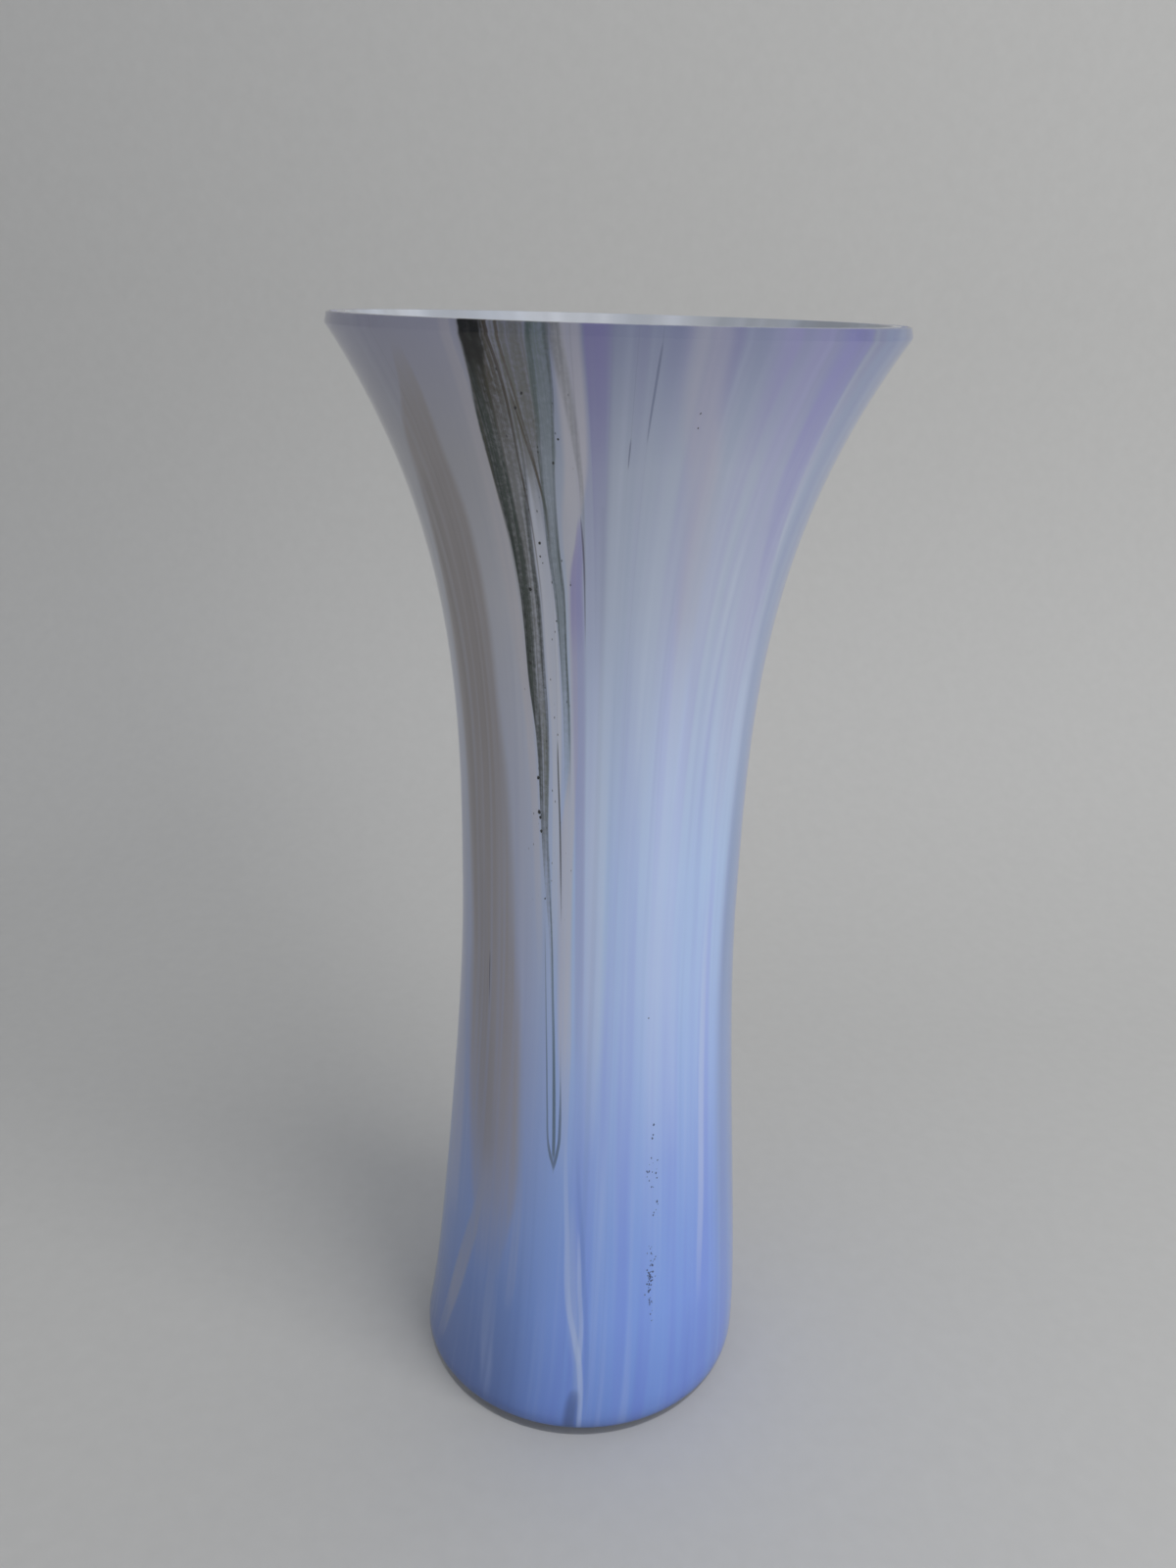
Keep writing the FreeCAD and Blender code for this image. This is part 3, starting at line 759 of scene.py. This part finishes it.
class Place:
    """Where a point of the glass lies: its azimuth in degrees, and its height as a share of the vase's.

    east and south are the azimuth's sine and cosine, which run round the back without a seam.
    """

    def __init__(self, paint):
        self.paint = paint
        self.point = paint.node("ShaderNodeTexCoord", {}, "Object")
        split = paint.node("ShaderNodeSeparateXYZ", {0: self.point}).node
        z = split.outputs["Z"]
        fade = paint.math("EXPONENT", paint.math("MULTIPLY", z, -1.0 / FOOT_DRIFT_FADE))
        x = paint.math("SUBTRACT", split.outputs["X"], paint.math("MULTIPLY", fade, FOOT_DRIFT))
        turn = paint.math("ARCTAN2", x, paint.math("MULTIPLY", split.outputs["Y"], -1.0))
        self.height = paint.math("MULTIPLY", z, 1.0 / HEIGHT)
        self.azimuth = paint.math("DEGREES", turn)
        self.east = paint.math("SINE", turn)
        self.south = paint.math("COSINE", turn)

    def streaks(self, across, along, seed, detail=2.0):
        """Noise drawn out down the wall: across is in waves per radian, along in waves per height."""
        paint = self.paint
        vector = paint.vector(paint.math("MULTIPLY", self.east, across),
                              paint.math("MULTIPLY", self.south, across),
                              paint.math("MULTIPLY_ADD", self.height, along, seed))
        return paint.noise(vector, 1.0, detail)


def reaches(stroke, area):
    """True if a stroke comes into an area of the wall, given as (low, high, left, right)."""
    low, high, left, right = area
    rows = stroke["line"]
    inside = rows[-1][0] <= high and rows[0][0] >= low
    return inside and min(r[1] - r[2] for r in rows) <= right and max(r[1] + r[2] for r in rows) >= left


def stroke_mask(place, stroke, fine, hair):
    """How strongly a stroke shows at each point, from 0 to 1."""
    paint, line = place.paint, stroke["line"]
    widest = max(row[2] for row in line)
    azimuths = [(h / DRAWN_HEIGHT, (azimuth + 90) / 180) for h, azimuth, _, _ in line]
    middle = paint.curve(place.height, azimuths)
    width = paint.curve(place.height, [(h / DRAWN_HEIGHT, half / widest) for h, _, half, _ in line])
    strength = paint.curve(place.height, [(h / DRAWN_HEIGHT, level) for h, _, _, level in line])
    offset = paint.math("SUBTRACT", place.azimuth, paint.math("MULTIPLY_ADD", middle, 180.0, -90.0))
    across = paint.math("DIVIDE", offset, paint.math("MULTIPLY", width, widest))
    left, right = stroke["soft"]
    fades = paint.smooth(across, -1.0, left - 1.0), paint.smooth(across, 1.0 - right, 1.0, 1.0, 0.0)
    mask = paint.math("MULTIPLY", *fades)
    mask = paint.math("MULTIPLY", mask, strength)
    if stroke["streaks"]:
        broken = paint.smooth(hair if stroke["hair"] else fine, 0.32, 0.6, 1.0 - stroke["streaks"], 1.0)
        mask = paint.math("MULTIPLY", mask, broken)
    return mask


def glass_colour(place, area):
    """The colour of the glass over an area of the wall: a ground, its streaks and the strokes on it."""
    paint = place.paint
    broad = place.streaks(1.6, 1.2, 3.7)
    medium = place.streaks(9.0, 1.6, 11.3)
    fine = place.streaks(17.0, 2.0, 5.1, 1.5)
    mottle = paint.noise(place.point, 900.0, 4.0, 0.6)
    hair = paint.math("MULTIPLY_ADD", place.streaks(95.0, 6.0, 9.4, 3.0), 0.6,
                      paint.math("MULTIPLY", mottle, 0.4))

    # the ground: the left one from the front round to the left side, and in patches on the back
    right, left = (paint.ramp(place.height, [(h / DRAWN_HEIGHT, tint(*colour)) for h, colour in ground])
                   for ground in (GROUND_RIGHT, GROUND_LEFT_WITH_FOOT_SHADE))
    towards_left = paint.smooth(place.azimuth, -34.0, -9.0, 1.0, 0.0)
    behind = paint.smooth(place.azimuth, -150.0, -90.0, 0.0, 1.0)
    colour = paint.mix(paint.math("MULTIPLY", towards_left, behind), right, left)
    round_back = paint.math("MULTIPLY", paint.smooth(place.south, 0.15, -0.35),
                            paint.smooth(broad, 0.42, 0.6))
    colour = paint.mix(round_back, colour, left)

    # its streaks: lilac ones on the right, and fine light and deep ones all round
    lilac = paint.mix(1.0, colour, tint(238, 228, 250), "MULTIPLY")
    right_side = paint.smooth(place.azimuth, -26.0, 4.0)
    lilac_streaks = paint.math("MULTIPLY", paint.smooth(medium, 0.4, 0.66, 0.0, 0.6), right_side)
    colour = paint.mix(lilac_streaks, colour, lilac)
    milky = paint.mix(0.1, colour, tint(226, 232, 246))
    light_streaks = paint.math("MULTIPLY", paint.smooth(fine, 0.5, 0.74), paint.smooth(medium, 0.62, 0.4))
    colour = paint.mix(light_streaks, colour, milky)
    deep = paint.mix(1.0, colour, tint(232, 236, 244), "MULTIPLY")
    colour = paint.mix(paint.smooth(fine, 0.48, 0.3, 0.0, 0.28), colour, deep)
    for stroke in STROKES:
        if reaches(stroke, area):
            colour = paint.mix(stroke_mask(place, stroke, fine, hair), colour, tint(*stroke["colour"]))
    return colour


def speckled(place, colour):
    """Sparse dark grains of frit on the left of the front."""
    paint = place.paint
    vector = paint.vector(paint.math("MULTIPLY", place.azimuth, 0.9),
                          paint.math("MULTIPLY", place.height, 170.0), 0.0)
    cells = paint.node("ShaderNodeTexVoronoi", {"Vector": vector, "Scale": 1.0}, "Distance").node
    chance = paint.node("ShaderNodeSeparateColor", {0: cells.outputs["Color"]}).node
    grain = paint.smooth(cells.outputs["Distance"], 0.24, 0.1)
    picked = paint.smooth(chance.outputs[0], 0.86, 0.88)
    area = paint.math("MULTIPLY", paint.smooth(place.azimuth, -31.0, -27.0),
                      paint.smooth(place.azimuth, -6.0, -11.0))
    area = paint.math("MULTIPLY", area, paint.smooth(place.height, 0.5, 0.62))
    mask = paint.math("MULTIPLY", paint.math("MULTIPLY", grain, picked), area)
    return paint.mix(paint.math("MULTIPLY", mask, 0.75), colour, tint(44, 46, 46))


def coloured_glass(name, area, speckles=False, roughness=0.34):
    """Coloured glass under the casing."""
    paint = Paint(name)
    place = Place(paint)
    colour = glass_colour(place, area)
    if speckles:
        colour = speckled(place, colour)
    inputs = {"Base Color": colour, "Roughness": roughness, "Specular IOR Level": 0.2}
    paint.show(paint.node("ShaderNodeBsdfPrincipled", inputs))
    return paint.material


def opal_glass():
    """White opal glass, milky and uneven, polished by the fire, with painted patchy highlights at the
    rim: it is painted darker in patches between them.
    """
    paint = Paint("opal_glass")
    place = Place(paint)
    cloud = place.streaks(3.0, 3.0, 1.0, 3.0)
    colour = paint.mix(paint.smooth(cloud, 0.35, 0.7), tint(186, 193, 205), tint(206, 210, 218))
    # painted highlights: near the rim the opal is darkened in patches, so the rest reads as patchy glints
    # on the polished rim
    patches = paint.noise(paint.vector(place.east, place.south, 0.0), 5.0, 2.0)
    glint_gaps = paint.smooth(patches, 0.34, 0.72, 0.7, 0.0)
    glint_gaps_at_rim = paint.math("MULTIPLY", glint_gaps, paint.smooth(place.height, 0.955, 1.0))
    colour = paint.mix(glint_gaps_at_rim, colour, tint(164, 168, 174))
    inputs = {"Base Color": colour, "Roughness": 0.12, "Coat Weight": 0.3}
    paint.show(paint.node("ShaderNodeBsdfPrincipled", inputs))
    return paint.material


def chip_glass(name, dark, light):
    """Dark frit, blue-black with a little light in it."""
    paint = Paint(name)
    place = Place(paint)
    fleck = place.streaks(120.0, 60.0, 2.0, 3.0)
    inputs = {"Base Color": paint.mix(fleck, tint(*dark), tint(*light)), "Roughness": 0.3}
    paint.show(paint.node("ShaderNodeBsdfPrincipled", inputs))
    return paint.material


def clear_glass():
    """The casing's polished outside. The light that falls on the colours goes straight through it."""
    paint = Paint("clear_glass")
    place = Place(paint)
    waves = place.streaks(2.4, 5.0, 8.0, 1.0)
    bump = paint.node("ShaderNodeBump", {"Strength": 0.12, "Distance": 0.4 * MM, "Height": waves})
    haze = paint.smooth(place.streaks(5.0, 4.0, 2.0, 3.0), 0.3, 0.7, 0.02, 0.07)
    inputs = {"Base Color": tint(250, 252, 255), "Roughness": haze, "IOR": 1.5,
              "Transmission Weight": 1.0, "Normal": bump}
    glass = paint.node("ShaderNodeBsdfPrincipled", inputs)
    through = paint.node("ShaderNodeBsdfTransparent", {})
    path = paint.node("ShaderNodeLightPath", {}).node
    passing = paint.math("MAXIMUM", path.outputs["Is Shadow Ray"], path.outputs["Is Diffuse Ray"])
    paint.show(paint.node("ShaderNodeMixShader", {0: passing, 1: glass, 2: through}))
    return paint.material


def joined_glass():
    """The casing's inner faces, where it is one with the coloured glass and bends no light."""
    paint = Paint("joined_glass")
    place = Place(paint)
    haze = paint.smooth(place.streaks(20.0, 30.0, 4.0, 3.0), 0.3, 0.8, 0.0, 0.02)
    colour = paint.mix(haze, (1, 1, 1, 1), tint(240, 244, 252))
    paint.show(paint.node("ShaderNodeBsdfTransparent", {"Color": colour}))
    return paint.material


def stage_paint():
    """Plain pale matt paint with a very faint grain."""
    paint = Paint("stage")
    point = paint.node("ShaderNodeTexCoord", {}, "Object")
    grain = paint.noise(point, 180.0, 4.0)
    colour = paint.mix(grain, tint(200, 200, 198), tint(206, 206, 204))
    paint.show(paint.node("ShaderNodeBsdfPrincipled", {"Base Color": colour, "Roughness": 0.7}))
    return paint.material


# ---------------------------------------------------------------- the pieces

OUTSIDE_ROWS, OUTSIDE_COLUMNS = 150, 256
JOINED_ROWS = 60            # on the faces between the casing, the skin and the lining
INSIDE_ROWS, INSIDE_COLUMNS = 80, 192


def add_casing():
    """The last, clear gather. Its outside bends light, and the faces behind it don't."""
    outside = outside_outline(OUTSIDE_ROWS)
    outline = outside + inner_outline(SKIN_FACE, JOINED_ROWS, -JOINT_GAP)[::-1]
    bm = turned_mesh(outline, OUTSIDE_COLUMNS)
    last_outside = len(outside) - 1
    for index, face in enumerate(bm.faces):
        face.material_index = int(index // OUTSIDE_COLUMNS > last_outside)
    add_piece("casing", bm, "clear_casing", [clear_glass(), joined_glass()])


def add_lining():
    """The first gather, blown hollow: the wall and the floor that hold the water."""
    outline = inner_outline(LINING_FACE, JOINED_ROWS, JOINT_GAP)
    outline += inner_outline(HOLLOW_FACE, INSIDE_ROWS)[::-1]
    add_piece("lining", turned_mesh(outline, INSIDE_COLUMNS), "opal_lining", [opal_glass()])


def piece_area(outlines):
    """The part of the wall that some outlines cover, as (low, high, left, right) in mm and degrees."""
    points = [point for outline in outlines for point in outline]
    azimuths = [azimuth for azimuth, _ in points]
    heights = [z / MM for _, z in points]
    return (min(heights), max(heights), min(azimuths), max(azimuths))


# The kind of glass that each piece of the skin is made of
SPECKLED = ("blue_skin", "dark_trail", "green_trail")
DARK_CHIP = ((10, 11, 13), (34, 36, 38))        # a chip's dark and light colour
BLUE_CHIP = ((46, 60, 96), (78, 98, 142))


def add_skin_and_inlays():
    """The blue skin, and the strips, veils, loop and chips that lie in its gaps."""
    points, sheets = skin_sheets()
    areas = {name: piece_area(outlines) for name, outlines in inlay_outlines().items()}
    areas["blue_skin"] = (0.0, DRAWN_HEIGHT, -180.0, 180.0)
    for name, triangles in sheets.items():
        if name == "front_chips":
            material = chip_glass("front_chip_glass", *DARK_CHIP)
        elif name == "trail_chips":
            material = chip_glass("trail_chip_glass", *BLUE_CHIP)
        else:
            material = coloured_glass(name + "_glass", areas[name], name in SPECKLED)
        bm = shell_mesh(points, triangles, name == "blue_skin")
        add_piece(name + "_inlay" if name != "blue_skin" else "skin", bm, name, [material])


add_casing()
add_lining()
add_skin_and_inlays()
add_stage(stage_paint())
add_light()
